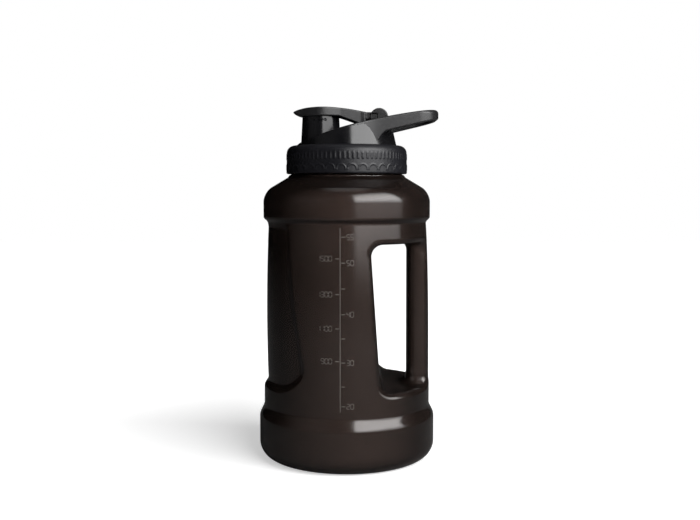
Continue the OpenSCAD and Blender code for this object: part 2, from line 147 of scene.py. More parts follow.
def surface_net(field, low, high, cell):
    """Points and quads of the surface where the field is zero."""
    low = np.array(low, float)
    counts = np.ceil((np.array(high, float) - low) / cell).astype(int) + 1
    axes = [low[i] + cell * np.arange(counts[i]) for i in range(3)]
    values = np.broadcast_to(field(*np.meshgrid(*axes, indexing="ij", sparse=True)), counts)
    inside = values < 0
    full = np.zeros(counts - 1, int)
    for i, j, k in CORNERS:
        full += inside[i:counts[0] - 1 + i, j:counts[1] - 1 + j, k:counts[2] - 1 + k]
    cells = np.argwhere((full > 0) & (full < 8))
    number = np.full(counts - 1, -1)
    number[tuple(cells.T)] = np.arange(len(cells))
    total = np.zeros((len(cells), 3))
    hits = np.zeros(len(cells))
    for a, b in CELL_EDGES:
        at_a = values[tuple((cells + a).T)]
        at_b = values[tuple((cells + b).T)]
        crossed = (at_a < 0) != (at_b < 0)
        share = np.where(crossed, at_a / np.where(crossed, at_a - at_b, 1), 0)
        total += crossed[:, None] * (np.array(a) + share[:, None] * (np.array(b) - np.array(a)))
        hits += crossed
    points = low + cell * (cells + total / hits[:, None])
    return points, net_quads(inside, number)


def net_quads(inside, number):
    """One quad round each grid edge that the surface crosses, facing out of the shape."""
    quads = []
    for axis in range(3):
        step_i, step_j = np.eye(3, dtype=int)[[(axis + 1) % 3, (axis + 2) % 3]]
        first = inside.take(np.arange(inside.shape[axis] - 1), axis)
        second = inside.take(np.arange(1, inside.shape[axis]), axis)
        at = np.argwhere(first != second)
        room = np.array(number.shape)
        kept = ((at - step_i - step_j >= 0) & (at < room)).all(axis=1)
        at = at[kept]
        leaving = first[tuple(at.T)]
        ring = [number[tuple((at - back).T)] for back in (step_i + step_j, step_j, 0 * step_i, step_i)]
        ring = np.stack(ring, axis=1)
        quads.append(np.where(leaving[:, None], ring, ring[:, ::-1]))
    return np.concatenate(quads)


def slope_of(field, points):
    """Direction in which the field grows at each point."""
    columns = []
    for shift in SLOPE_STEP * np.eye(3):
        columns.append((field(*(points + shift).T) - field(*(points - shift).T)) / (2 * SLOPE_STEP))
    return np.stack(columns, axis=1)


def pulled_on(field, points, reach, rounds=3):
    """The points moved onto the surface, by at most reach in each round."""
    for _ in range(rounds):
        slope = slope_of(field, points)
        steep = np.maximum((slope ** 2).sum(axis=1), 0.25)
        move = -(field(*points.T) / steep)[:, None] * slope
        length = np.maximum(np.linalg.norm(move, axis=1, keepdims=True), 1e-9)
        points = points + move * np.minimum(1, reach / length)
    return points


def evened(points, quads, share=0.55):
    """Each point moved towards the middle of the quads round it."""
    centres = points[quads].mean(axis=1)
    corners = quads.ravel()
    met = np.maximum(np.bincount(corners, minlength=len(points)), 1)
    sums = [np.bincount(corners, np.repeat(centres[:, i], 4), len(points)) for i in range(3)]
    middle = np.stack(sums, axis=1) / met[:, None]
    return points + share * (middle - points)


def skin(field, low, high, cell):
    """Evenly spread points and quads on the surface of a field."""
    points, quads = surface_net(field, low, high, cell)
    for _ in range(2):
        points = pulled_on(field, evened(points, quads), cell / 2)
    return points, quads


def unit(vectors):
    return vectors / np.maximum(np.linalg.norm(vectors, axis=1, keepdims=True), 1e-9)


print(f"a cell has {len(CELL_EDGES)} edges to cross")

# %% Turn points into a Blender object


def make_object(name, points, faces, normals=None):
    """A smooth mesh object in metres from points in millimetres and lists of point numbers."""
    mesh = bpy.data.meshes.new(name)
    mesh.from_pydata(np.asarray(points) * MM, [], faces)
    mesh.validate()
    mesh.shade_smooth()
    if normals is not None:
        mesh.normals_split_custom_set_from_vertices(normals)
    made = bpy.data.objects.new(name, mesh)
    bpy.context.scene.collection.objects.link(made)
    print(f"{name}: {len(mesh.polygons)} faces")
    return made


def moulded(name, field, low, high, cell):
    """An object with the surface of a field, shaded by the field's slope."""
    points, quads = skin(field, low, high, cell)
    return make_object(name, points, quads.tolist(), unit(slope_of(field, points)))


# %% [markdown]
# ## The jug's outside
#
# The jug is a turned shape with a wide base band, a slimmer waist that tapers, a groove and a shoulder band.
# Its handle isn't a part of its own: the mould pinches the wall in behind a hollow bar, so the opening runs
# round the bar at the front and the back. I cut a large soft-cornered void out of the side and let the grip
# bar stand in it, with fillets where it runs into the roof and the floor.

# %% Profile of the jug

base_band_h = 34.4
base_corner_r = 12.8
base_hollow = 5.0
waist_r = base_r - 3.6
waist_taper = 3.0
waist_bottom = 40.4
waist_top = 178.8
body_h = 200.6
shoulder_slope = math.radians(31)
shoulder_r = 6.2
neck_foot = collar_bottom - 2.0
bead_r = neck_r + 2.1
wall = 1.4
neck_wall = 2.2


def waist_at(z):
    """Radius of the waist at height z."""
    return waist_r - waist_taper * np.clip((z - waist_bottom) / (waist_top - waist_bottom), 0, 1) ** 3


def jug_radius(z):
    """Radius of the jug's side at height z, from base band to shoulder band."""
    ledge = (base_r - waist_r) * (1 - smooth_step(z, base_band_h - 2.7, waist_bottom + 1.6))
    band = waist_taper * smooth_step(z, waist_top - 0.8, waist_top + 3.4)
    return waist_at(z) + ledge + band


def jug_turned(r, z):
    """The turned body of the jug without its neck."""
    lean = (jug_radius(z + 0.1) - jug_radius(z - 0.1)) / 0.2
    side = (r - jug_radius(z)) / np.sqrt(1 + lean ** 2)
    bottom = base_hollow * (1 - smooth_step(r, base_r - 25, base_r - 16)) - z
    shoulder = (z - body_h) * math.cos(shoulder_slope) + (r - waist_r) * math.sin(shoulder_slope)
    return both(both(side, bottom, base_corner_r), shoulder, shoulder_r)


print(f"waist {2 * waist_r:.1f} mm across at its foot, {2 * waist_at(waist_top):.1f} mm at the groove")

# %% Opening and grip bar of the handle

grip_x = base_r - 20.7
grip_half_w = 14.85
grip_corner_r = 7.4
gap_floor_x = grip_x - 21.1
gap_roof_x = grip_x - 28.6
floor_z = base_band_h + 22.4
roof_z = body_h - 37.0
opening_corner_r = 9.0
opening_edge_r = 4.2
grip_fillet_r = 7.0


def handle_opening(x, z):
    """The void of the handle, open towards the grip's side."""
    wall_x = gap_floor_x + (gap_roof_x - gap_floor_x) * (z - floor_z) / (roof_z - floor_z)
    low_corner = both(wall_x - x, floor_z - z, opening_corner_r)
    return both(low_corner, z - roof_z, opening_corner_r)


def grip_bar(x, y):
    """The upright bar that the hand closes round."""
    middle_x = (grip_x + waist_r + 1.5) / 2
    return both(np.abs(x - middle_x) - (waist_r + 1.5 - grip_x) / 2, np.abs(y) - grip_half_w, grip_corner_r)


print(f"opening {roof_z - floor_z:.1f} mm tall, fingers have {grip_x - gap_floor_x:.1f} mm at the floor")

# %% Shallow panel opposite the handle

panel_foot = waist_bottom + 17
panel_top = waist_top - 1
panel_half_low = 55.2
panel_half_top = 41.9
panel_face_r = base_r - 5.5
panel_bow = 1.2


def panel_outline(x, y, z):
    """Outline of the pressed-in panel on the side away from the handle."""
    share = (z - panel_foot) / (panel_top - panel_foot)
    half_w = panel_half_low + (panel_half_top - panel_half_low) * share
    upright = both(both(np.abs(y) - half_w, panel_foot - z, 20), z - panel_top, 6)
    return np.maximum(upright, x)


def panel_face(z):
    """Radius of the panel's bottom face, bowed a little over its height."""
    share = 2 * (z - (panel_foot + panel_top) / 2) / (panel_top - panel_foot)
    return panel_face_r - panel_bow * share ** 2


def jug_shell(x, y, z):
    """Outside of the jug up to its neck."""
    r = np.hypot(x, y)
    kept = either(-handle_opening(x, z), grip_bar(x, y), grip_fillet_r)
    pressed = either(-panel_outline(x, y, z), r - panel_face(z), 4.0)
    return both(both(jug_turned(r, z), kept, opening_edge_r), pressed, 3.0)


# %% Neck with its bead and thread

thread_pitch = 5.0
thread_depth = 1.2
thread_turns = 1.25
thread_start = collar_bottom + 5.1
thread_half_w = 1.1
thread_fades = 8
FAR = 99.0


def neck_thread(x, y, z):
    """Helical ridge on the neck, fading at both ends."""
    turn = np.mod(np.arctan2(y, x) / (2 * math.pi), 1)
    out = np.hypot(x, y) - neck_r
    found = FAR
    for lap in range(math.ceil(thread_turns)):
        along = turn + lap
        fade = np.clip(np.minimum(along, thread_turns - along) * thread_fades, 0, 1)
        height = np.abs(z - thread_start - thread_pitch * along)
        ridge = both(out - thread_depth * fade, height - thread_half_w + 0.5 * np.clip(out, 0, 2), 0.3)
        found = np.minimum(found, np.where(fade > 0, ridge, FAR))
    return found


def jug_outside(x, y, z):
    """The whole outside of the jug, its neck running on upwards."""
    r = np.hypot(x, y)
    bead = both(r - bead_r, z - neck_foot - 1.2, 0.5)
    neck = either(r - neck_r, bead, 0.6)
    neck = np.maximum(np.minimum(neck, neck_thread(x, y, z)), neck_foot - 6 - z)
    return either(jug_shell(x, y, z), neck, 1.0)


def jug_inside(x, y, z):
    """Inside of the wall: the shell stood back by the wall, opened by the bore of the neck."""
    bore = np.maximum(np.hypot(x, y) - (neck_r - neck_wall), neck_foot - 10 - z)
    return either(jug_shell(x, y, z) + wall, bore, 3.0)


# %% [markdown]
# The wall is thinner than a cell of the grid, so the outside and the inside become two skins. Both run on
# past the mouth, are cut level there, and a ring of faces joins them into one closed wall. Light then passes
# two true surfaces at each wall, which gives the smoke plastic its depth.

# %% Mesh the jug

jug_cell = 1.15


def closed_wall(name, outside, inside, low, high, cell):
    """One mesh of two skins, cut level at the mouth and joined by a rim."""
    outer_points, outer_quads = skin(outside, low, high, cell)
    inner_points, inner_quads = skin(inside, low, high, cell)
    points = np.concatenate([outer_points, inner_points])
    quads = np.concatenate([outer_quads, inner_quads[:, ::-1] + len(outer_points)])
    rough = bpy.data.meshes.new("two_skins")
    rough.from_pydata(points, [], quads.tolist())
    work = bmesh.new()
    work.from_mesh(rough)
    everything = work.verts[:] + work.edges[:] + work.faces[:]
    bmesh.ops.bisect_plane(work, geom=everything, plane_co=(0, 0, neck_top), plane_no=(0, 0, 1),
                           clear_outer=True)
    bmesh.ops.bridge_loops(work, edges=[edge for edge in work.edges if edge.is_boundary])
    bmesh.ops.triangulate(work, faces=[face for face in work.faces if len(face.verts) > 4])
    points = np.array([vert.co[:] for vert in work.verts])
    faces = [[vert.index for vert in face.verts] for face in work.faces]
    work.free()
    bpy.data.meshes.remove(rough)
    on_outer = np.abs(outside(*points.T)) < np.abs(inside(*points.T))
    normals = np.where(on_outer[:, None], slope_of(outside, points), -slope_of(inside, points))
    return make_object(name, points, faces, unit(normals))


jug = closed_wall("jug_shell", jug_outside, jug_inside,
                  (-base_r - 3, -base_r - 3, -3), (base_r + 3, base_r + 3, neck_top + 3 * jug_cell), jug_cell)

# %% [markdown]
# ## The screw collar
#
# The collar is turned, so I spin a profile instead of using a field. That keeps straight columns of quads,
# fine enough to carry the moulded relief that gives fingers a hold: a row of upright ribs above a row of
# small arches. The same trick presses the thread into its bore.

# %% Profile and relief of the collar

collar_columns = 1080
collar_corner_r = 5.5
collar_bore_r = neck_r + thread_depth + 0.45
lip_bottom = flange_bottom + 2.2
dome_r = 37.4
rib_count = 84
arch_count = 36
rib_low = collar_bottom + 10.4
rib_high = collar_bottom + 15.0
arch_foot = collar_bottom + 3.2
arch_r = 3.3
relief_h = 0.26


def soft_edge(distance, width=0.45):
    """1 inside a mark and 0 outside it, with a sloping flank."""
    return 1 - smooth_step(distance, -width, width)


def collar_relief(angle, z):
    """Height of the relief on the collar's wall."""
    arc = angle * collar_r
    rib_pitch = 2 * math.pi * collar_r / rib_count
    beside = np.abs(np.mod(arc, rib_pitch) - rib_pitch / 2)
    level = np.abs(z - (rib_low + rib_high) / 2) - (rib_high - rib_low) / 2
    ribs = soft_edge(both(beside - 0.75, level, 0.6))
    arch_pitch = 2 * math.pi * collar_r / arch_count
    across = np.mod(arc, arch_pitch) - arch_pitch / 2
    ring = np.abs(np.hypot(across, z - arch_foot) - arch_r) - 0.45
    arches = soft_edge(np.maximum(ring, arch_foot - 0.6 - z))
    return relief_h * np.maximum(ribs, arches)


def arc_points(centre_r, centre_z, radius, start, end, steps):
    """Points of a rounded corner of the profile, angles in degrees."""
    turn = np.radians(np.linspace(start, end, steps))
    return [(centre_r + radius * math.cos(a), centre_z + radius * math.sin(a)) for a in turn]


def run(r0, z0, r1, z1, spacing):
    """Evenly spaced points of a straight stretch of the profile."""
    steps = max(2, round(math.hypot(r1 - r0, z1 - z0) / spacing))
    return list(zip(np.linspace(r0, r1, steps + 1), np.linspace(z0, z1, steps + 1)))


collar_wall = run(collar_r - relief_h, collar_bottom + 1.3, collar_r - relief_h - 0.3,
                  collar_top - collar_corner_r - 0.4, 0.34)
collar_profile = (
    arc_points(collar_r - relief_h - 1.0, collar_bottom + 1.0, 1.0, -90, -10, 5) + collar_wall
    + arc_points(collar_r - relief_h - 0.3 - collar_corner_r, collar_top - collar_corner_r, collar_corner_r,
                 8, 90, 12)
    + run(collar_r - collar_corner_r - 1.6, collar_top, dome_r + 0.5, collar_top, 1.0)
    + [(dome_r + 0.12, collar_top - 0.3)]
    + run(dome_r + 0.12, collar_top - 0.9, dome_r + 0.12, lip_bottom, 1.0)
    + run(dome_r + 1.0, lip_bottom, collar_bore_r - 0.2, lip_bottom, 1.5)
)
bore_profile = run(collar_bore_r, lip_bottom - 0.2, collar_bore_r, collar_bottom, 0.4)
print(f"{len(collar_profile) + len(bore_profile)} rings of {collar_columns} columns")

# %% Spin the collar


def spun(name, profile, shaped):
    """A closed ring spun from a closed profile, with its points moved by shaped(angle, r, z)."""
    rings = len(profile)
    angle = np.linspace(0, 2 * math.pi, collar_columns, endpoint=False)[:, None]
    r, z = np.array(profile).T[:, None, :]
    r = shaped(angle, r, z)
    points = np.stack(np.broadcast_arrays(r * np.cos(angle), r * np.sin(angle), z), axis=-1).reshape(-1, 3)
    column, ring = np.meshgrid(np.arange(collar_columns), np.arange(rings), indexing="ij")
    after = (column + 1) % collar_columns
    above = (ring + 1) % rings
    corners = [column * rings + ring, after * rings + ring, after * rings + above, column * rings + above]
    return make_object(name, points, np.stack(corners, axis=-1).reshape(-1, 4).tolist())


def collar_shaped(angle, r, z):
    """Relief on the wall and the thread in the bore."""
    on_wall = (r > collar_r - 1.2) & (z > collar_bottom + 1.2) & (z < collar_top - collar_corner_r)
    in_bore = (np.abs(r - collar_bore_r) < 0.05) & (z < lip_bottom)
    turn = angle / (2 * math.pi)
    fade = np.clip(np.minimum(turn, 1 - turn) * thread_fades, 0, 1)
    height = np.abs(z - collar_bottom - 2.6 - thread_pitch * turn)
    tooth = thread_depth * fade * (1 - smooth_step(height, 0.5, thread_half_w))
    return r + np.where(on_wall, collar_relief(angle, z), 0) - np.where(in_bore, tooth, 0)


collar = spun("screw_collar", collar_profile + bore_profile, collar_shaped)

# %% [markdown]
# ## The dome, its spout and the hinge lug
#
# One sloping curve runs over the whole lid, from the low front edge of the dome up to the end of the carry
# loop. It is a slice of one very large drum, so the dome and the loop share it. The spout rises through it.

# %% The slope that the dome and the loop share

rim_front = np.array([-dome_r, collar_top + 0.8])
rim_back = np.array([loop_high.x - 5, collar_top + 25.5])
rim_bulge = 3.4
rim_span = rim_back - rim_front
rim_chord = math.hypot(*rim_span)
rim_arc_r = rim_chord ** 2 / (8 * rim_bulge) + rim_bulge / 2
rim_normal = np.array([rim_span[1], -rim_span[0]]) / rim_chord
rim_centre = (rim_front + rim_back) / 2 + rim_normal * (rim_arc_r - rim_bulge)
dome_draft = 0.23
dome_wall = 2.0
spout_top = seal_high.z - 1.31
knuckle_r = 6.7
lug_half_w = 4.8
hinge_half_w = 10.7


def above_slope(x, z):
    """Distance above the lid's sloping top."""
    return np.hypot(x - rim_centre[0], z - rim_centre[1]) - rim_arc_r


def slope_height(x):
    """Height of the sloping top."""
    return rim_centre[1] + np.sqrt(rim_arc_r ** 2 - (x - rim_centre[0]) ** 2)


def dome_cone(r, z):
    """Distance outside the dome's leaning wall."""
    return (r - dome_r + dome_draft * np.maximum(z - collar_top, 0)) / math.hypot(1, dome_draft)


print(f"slope: drum of radius {rim_arc_r:.0f} mm, {slope_height(0.0):.1f} mm high at the axis")

# %% Field of the dome


def dome_field(x, y, z):
    """Dome, flange, spout and hinge lug, hollow underneath."""
    r = np.hypot(x, y)
    slope = above_slope(x, z)
    cone = dome_cone(r, z)
    bowl = np.maximum(cone + 2.2, -(slope + 1.2))
    body = both(both(cone, slope, 0.9), -bowl, 0.5)
    flange = both(r - collar_bore_r + 0.2, slab(z, flange_bottom, flange_bottom + 2.2, 0.3), 0.3)
    body = np.minimum(np.maximum(body, flange_bottom - z), flange)
    from_spout = np.hypot(x + spout_x, y)
    flare = 1.2 * np.clip((spout_top - z) / (spout_top - collar_top - 2), 0, 1)
    tube = both(np.maximum(from_spout - spout_r - flare, collar_top + 2 - z), z - spout_top, 0.9)
    body = either(body, np.maximum(tube, r - dome_r + 0.4), 1.3)
    bead = both(np.abs(from_spout - spout_r + 0.1) - 0.7, slab(z, spout_top - 5.6, spout_top - 4.4, 0.3), 0.3)
    body = np.minimum(body, np.maximum(bead, np.abs(x + spout_x) - 4.5))
    lug = np.hypot(x - hinge_x, z - hinge_z) - knuckle_r + 1
    foot = np.maximum(np.abs(x - hinge_x) - knuckle_r + 1, z - hinge_z)
    lug = both(np.minimum(lug, foot), np.abs(y) - lug_half_w, 0.6)
    lug = np.maximum(lug, np.maximum(collar_top + 1 - z, r - dome_r + 5))
    body = either(body, lug, 0.5)
    housing = both(np.hypot(x - hinge_x, z - hinge_z) - knuckle_r - 2.1, np.abs(y) - hinge_half_w - 3, 0.5)
    hollow = np.maximum(np.where(z > collar_top, cone + dome_wall, r - dome_r + dome_wall), slope + 3.2)
    body = both(body, -np.maximum(hollow, -housing), 0.4)
    beside = np.abs(np.abs(y) - (lug_half_w + hinge_half_w + 1) / 2) - (hinge_half_w + 1 - lug_half_w) / 2
    pocket = np.maximum(np.hypot(x - hinge_x, z - hinge_z) - knuckle_r - 0.5, beside)
    body = both(body, -pocket, 0.5)
    bore = np.maximum(from_spout - spout_r + 2.4, collar_top - 5 - z)
    return both(body, -bore, 0.8)


margin = 1.5


def grown(low, high):
    """The two corners of a box, moved out by the margin."""
    return [value - margin for value in low], [value + margin for value in high]


dome = moulded("lid_dome_and_spout", dome_field, *grown(dome_low, dome_high), 0.62)

# %% [markdown]
# ## The carry loop
#
# The loop is a band that stands on edge: tall where it leaves the dome, thinner towards its end, and wide
# enough for two fingers. In plan it is a long U. I take the outside and the inside of that U as one field and
# its copy stood in by the band's thickness, then trim the top with the shared slope.

# %% Field of the carry loop

loop_reach = loop_high.x
loop_half_w = 29.5
loop_half_end = 27.0
loop_flare = 3.6
loop_rise = 0.235
loop_band = 4.2
loop_end_h = 6.7
loop_root_x = dome_r - 15.4
loop_low_z = float(slope_height(loop_reach - 5)) - loop_end_h
loop_dip_x = loop_root_x + 7.5


def loop_plan(x, y):
    """Distance outside the loop's outline in plan."""
    narrowing = (loop_half_w - loop_half_end) * (x - loop_root_x) / (loop_reach - loop_root_x)
    flare = loop_flare * np.exp(-((x - 4) / 10) ** 2)
    return both(np.abs(y) - loop_half_w + narrowing - flare, x - loop_reach, 15)


def loop_field(x, y, z):
    """The standing band of the loop."""
    plan = loop_plan(x, y)
    underside = loop_low_z - (loop_reach - x) * loop_rise - 0.13 * np.maximum(loop_dip_x - x, 0) ** 2
    underside = np.maximum(underside, collar_top + 0.3)
    outer = both(plan, above_slope(x, z), 1.1 + 2.0 * smooth_step(x, loop_reach - 18, loop_reach - 3))
    band = both(outer, -plan - loop_band, 1.1)
    band = both(band, (underside - z) * 0.96, 1.0)
    return np.maximum(band, np.maximum(-dome_cone(np.hypot(x, y), z) - 0.4, 2 - x))


loop = moulded("carry_loop_band", loop_field, (0.5, -dome_r, loop_low.z - margin),
               (loop_high.x + margin, dome_r, loop_high.z + margin), 0.6)

# %% [markdown]
# ## The flip cap
#
# The cap is a thin lid over the spout with a thumb tab in front and an arm that runs back to two knuckles.
# Seen from above it is a keyhole; seen from the side, a low arch that is hollow below.

# %% Field of the flip cap

cap_head_r = cap_high.y
cap_front = cap_low.x
tab_half_w = 8.0
arm_half_w = hinge_half_w
arm_end = hinge_x - 9.8
cap_crest_z = cap_high.z
skirt_bottom = spout_top - 2.3
cap_wall = 1.8


def cap_plan(x, y):
    """Outline of the cap from above: head, thumb tab and arm."""
    head = np.hypot(x + spout_x, y) - cap_head_r
    tab = both(cap_front - x, np.abs(y) - tab_half_w, 5)
    tab = np.maximum(tab, x + spout_x)
    half_w = arm_half_w + (13.4 - arm_half_w) * np.clip((arm_end - 4 - x) / 21, 0, 1)
    arm = np.maximum(np.abs(y) - half_w, -spout_x - x)
    arm = both(arm, x - arm_end, 1.2)
    return either(either(head, tab, 5), arm, 4)


def cap_top(x):
    """Height of the cap's arched top."""
    return cap_crest_z - 0.35 - 0.0036 * (x + 17.4) ** 2 - 0.010 * np.maximum(-28.6 - x, 0) ** 2


def cap_underside(x):
    """Height of the cap's lower edge, level round the spout and following the slope along the arm."""
    level = skirt_bottom + 0.045 * np.maximum(cap_front + 8 - x, 0) ** 2
    along = np.maximum(x + 6, 0)
    return np.maximum(level - 0.33 * along - 0.002 * along ** 2, slope_height(x) + 0.6)


def cap_field(x, y, z):
    """The cap with its arm, hollow below, and the two knuckles it turns on."""
    plan = cap_plan(x, y)
    upper = (z - cap_top(x)) * 0.98
    lower = cap_underside(x) - z
    body = both(both(plan, upper, 1.0), lower, 0.7)
    roof = np.minimum(spout_top + 1.35, cap_top(x) - 1.9)
    hollow = np.maximum(np.maximum(plan + cap_wall, z - roof), -spout_x - spout_r - 0.4 - x)
    body = both(body, -hollow, 0.4)
    beside = np.abs(y)
    knuckle = np.hypot(x - hinge_x, z - hinge_z) - knuckle_r
    knuckle = both(knuckle, slab(beside, lug_half_w + 0.4, hinge_half_w, 0.3), 0.7)
    slot = both(slab(x, hinge_x - 5.8, hinge_x - 1.2, 0.6), slab(z, hinge_z - 2.8, hinge_z + 2.8, 0.6), 0.6)
    knuckle = both(knuckle, -both(slot, hinge_half_w - 2.6 - beside, 0.3), 0.3)
    link = both(slab(x, hinge_x - 12, hinge_x, 0.3), slab(z, hinge_z - 1.5, hinge_z + 3.7, 0.6), 0.5)
    link = both(link, slab(beside, lug_half_w + 0.4, hinge_half_w - 1.6, 0.4), 0.5)
    return np.minimum(either(body, link, 0.8), knuckle)


cap = moulded("flip_cap_and_arm", cap_field, *grown(cap_low, cap_high), 0.42)

# %% [markdown]
# ## Figures of the scale
#
# The frame already has the printed line and its ticks. The figures beside them are plain numbers made of
# short strokes, each a flat closed bar laid on the curve of the wall. The heights come from the ticks of the
# frame, so a figure always stands beside its own mark.

# %% Find the ticks

ink_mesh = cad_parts["scale_print"].data
ink_points = np.array([vert.co[:] for vert in ink_mesh.vertices]) / MM
line_x = -4.4
figure_h = 3.7
figure_w = 2.1
figure_pitch = 2.75
stroke_w = 0.42
ink_h = 0.1


def tick_heights(side_points):
    """Middle heights of the ticks among some points of the print."""
    heights = np.sort(side_points[:, 2])
    groups = np.split(heights, np.where(np.diff(heights) > 2)[0] + 1)
    return [float(group.mean()) for group in groups]


right_ticks = tick_heights(ink_points[ink_points[:, 0] > line_x + 1.5])
left_ticks = tick_heights(ink_points[ink_points[:, 0] < line_x - 1.5])
print(f"{len(right_ticks)} ticks on the right, {len(left_ticks)} on the left")

# %% Build the figures

# The faces of a flat bar, and the seven strokes of a figure as ends on a grid 1 wide and 2 high, lit by name
# for each digit.
BAR_FACES = ((3, 2, 1, 0), (4, 5, 6, 7), (0, 1, 5, 4), (1, 2, 6, 5), (2, 3, 7, 6), (3, 0, 4, 7))
STROKES = {"a": (0, 2, 1, 2), "b": (1, 1, 1, 2), "c": (1, 0, 1, 1), "d": (0, 0, 1, 0),
           "e": (0, 0, 0, 1), "f": (0, 1, 0, 2), "g": (0, 1, 1, 1)}
DIGITS = {"0": "abcdef", "1": "bc", "2": "abged", "3": "abgcd", "4": "fgbc", "5": "afgcd",
          "6": "afgedc", "7": "abc", "8": "abcdefg", "9": "abcdfg"}


def stroke_box(x0, z0, x1, z1):
    """Eight corners of one flat stroke on the curve of the wall."""
    corners = []
    for depth in (-0.02, ink_h):
        for x, z in ((x0, z0), (x1, z0), (x1, z1), (x0, z1)):
            reach = waist_at(z) + depth
            corners.append((x, -math.sqrt(reach ** 2 - x ** 2), z))
    return corners


def write_number(text, left, middle_z, points, faces):
    """Adds the strokes of a number that starts at x = left."""
    shrink = stroke_w * 0.62
    for place, digit in enumerate(text):
        for name in DIGITS[digit]:
            u0, v0, u1, v1 = STROKES[name]
            flat = v0 == v1
            x0 = left + place * figure_pitch + u0 * figure_w + (shrink if flat else -stroke_w / 2)
            x1 = left + place * figure_pitch + u1 * figure_w - (shrink if flat else -stroke_w / 2)
            z0 = middle_z + (v0 - 1) * figure_h / 2 + (-stroke_w / 2 if flat else shrink)
            z1 = middle_z + (v1 - 1) * figure_h / 2 - (-stroke_w / 2 if flat else shrink)
            first = len(points)
            points.extend(stroke_box(x0, z0, x1, z1))
            faces.extend([[first + i for i in face] for face in BAR_FACES])


figure_points = []
figure_faces = []
first_ounces = 20
ounce_step = 5
first_ml = 900
ml_step = 200
ounces_x = 0.2
ml_x = {3: -17.9, 4: -20.6}
for index, height in enumerate(right_ticks):
    ounces = first_ounces + ounce_step * index
    if ounces % 10 == 0 or height == right_ticks[-1]:
        write_number(str(ounces), ounces_x, height, figure_points, figure_faces)
for index, height in enumerate(left_ticks):
    label = str(first_ml + ml_step * index)
    write_number(label, ml_x[len(label)], height, figure_points, figure_faces)
figures = make_object("scale_figures", figure_points, figure_faces)
figures.data.polygons.foreach_set("use_smooth", [False] * len(figures.data.polygons))

# %% [markdown]
# ## Shared effects for the materials
#
# Three effects come back on nearly every piece: the faint grain of a moulded surface, the rubbed edges of a
# thing that is carried every day, and a little dust on what faces up. Each is a node group with its own
# inputs, so that a finish only has to say how much of it there is.

# %% Helpers for node trees


def add(tree, kind, **settings):
    """A new node with its settings."""
    made = tree.nodes.new(kind)
    for name, value in settings.items():
        setattr(made, name, value)
    return made


def wire(tree, pairs):
    """Links outputs to inputs."""
    for source, target in pairs:
        tree.links.new(source, target)


def feed(tree, sockets, values):
    """Gives each socket its link or its plain value."""
    for socket, value in zip(sockets, values):
        if isinstance(value, bpy.types.NodeSocket):
            tree.links.new(value, socket)
        else:
            socket.default_value = value


def blend_colour(tree, share, first, second):
    """Mix of two colours; each may be a socket or a plain colour."""
    mix = add(tree, "ShaderNodeMix", data_type="RGBA")
    feed(tree, (mix.inputs[0], mix.inputs[6], mix.inputs[7]), (share, first, second))
    return mix.outputs[2]


def sum_of(tree, operation, first, second, clamp=False):
    """A Math node on two sockets or numbers."""
    made = add(tree, "ShaderNodeMath", operation=operation, use_clamp=clamp)
    feed(tree, made.inputs, (first, second))
    return made.outputs[0]


def remap(tree, value, low, high, to_low=0.0, to_high=1.0):
    """A value moved from one range to another and held there."""
    made = add(tree, "ShaderNodeMapRange")
    feed(tree, made.inputs, (value, low, high, to_low, to_high))
    return made.outputs[0]


def noise(tree, where, scale, detail=3.0, rough=0.5):
    """Noise over the object's own coordinates."""
    made = add(tree, "ShaderNodeTexNoise")
    sockets = [made.inputs[label] for label in ("Vector", "Scale", "Detail", "Roughness")]
    feed(tree, sockets, (where, scale, detail, rough))
    return made.outputs["Fac"]


def new_group(name, inputs, outputs):
    """An empty node group with named sockets: (name, kind, default) in, (name, kind) out."""
    group = bpy.data.node_groups.new(name, "ShaderNodeTree")
    for label, kind, default in inputs:
        socket = group.interface.new_socket(label, in_out="INPUT", socket_type=kind)
        socket.default_value = default
    for label, kind in outputs:
        group.interface.new_socket(label, in_out="OUTPUT", socket_type=kind)
    return group, add(group, "NodeGroupInput"), add(group, "NodeGroupOutput")


NUMBER = "NodeSocketFloat"
COLOUR = "NodeSocketColor"
GREY = (0.5, 0.5, 0.5, 1.0)

# %% Moulded grain


def build_moulded_grain():
    """Colour that drifts slowly over the piece and the fine height of a spark-eroded mould."""
    group, given, out = new_group(
        "moulded_grain",
        [("Colour", COLOUR, GREY), ("Tone Shift", NUMBER, 0.1), ("Roughness", NUMBER, 0.4),
         ("Roughness Shift", NUMBER, 0.08), ("Grain Scale", NUMBER, 2500.0)],
        [("Colour", COLOUR), ("Roughness", NUMBER), ("Height", NUMBER)])
    where = add(group, "ShaderNodeTexCoord").outputs["Object"]
    drift = noise(group, where, 22.0, 4.0)
    fine = noise(group, where, given.outputs["Grain Scale"], 2.0)
    cloud = noise(group, where, 160.0, 5.0, 0.6)
    darker = blend_colour(group, given.outputs["Tone Shift"], given.outputs["Colour"], (0.0, 0.0, 0.0, 1.0))
    lighter = blend_colour(group, sum_of(group, "MULTIPLY", given.outputs["Tone Shift"], 0.03),
                           given.outputs["Colour"], (0.8, 0.78, 0.75, 1.0))
    tone = blend_colour(group, remap(group, drift, 0.35, 0.65), darker, lighter)
    swing = sum_of(group, "SUBTRACT", remap(group, cloud, 0.3, 0.7), 0.5)
    rough = sum_of(group, "ADD", given.outputs["Roughness"],
                   sum_of(group, "MULTIPLY", swing, given.outputs["Roughness Shift"]), True)
    height = sum_of(group, "ADD", fine, sum_of(group, "MULTIPLY", cloud, 0.35))
    feed(group, out.inputs, (tone, rough, height))
    return group


moulded_grain = build_moulded_grain()
print("moulded_grain:", len(moulded_grain.nodes), "nodes")

# %% Handling wear


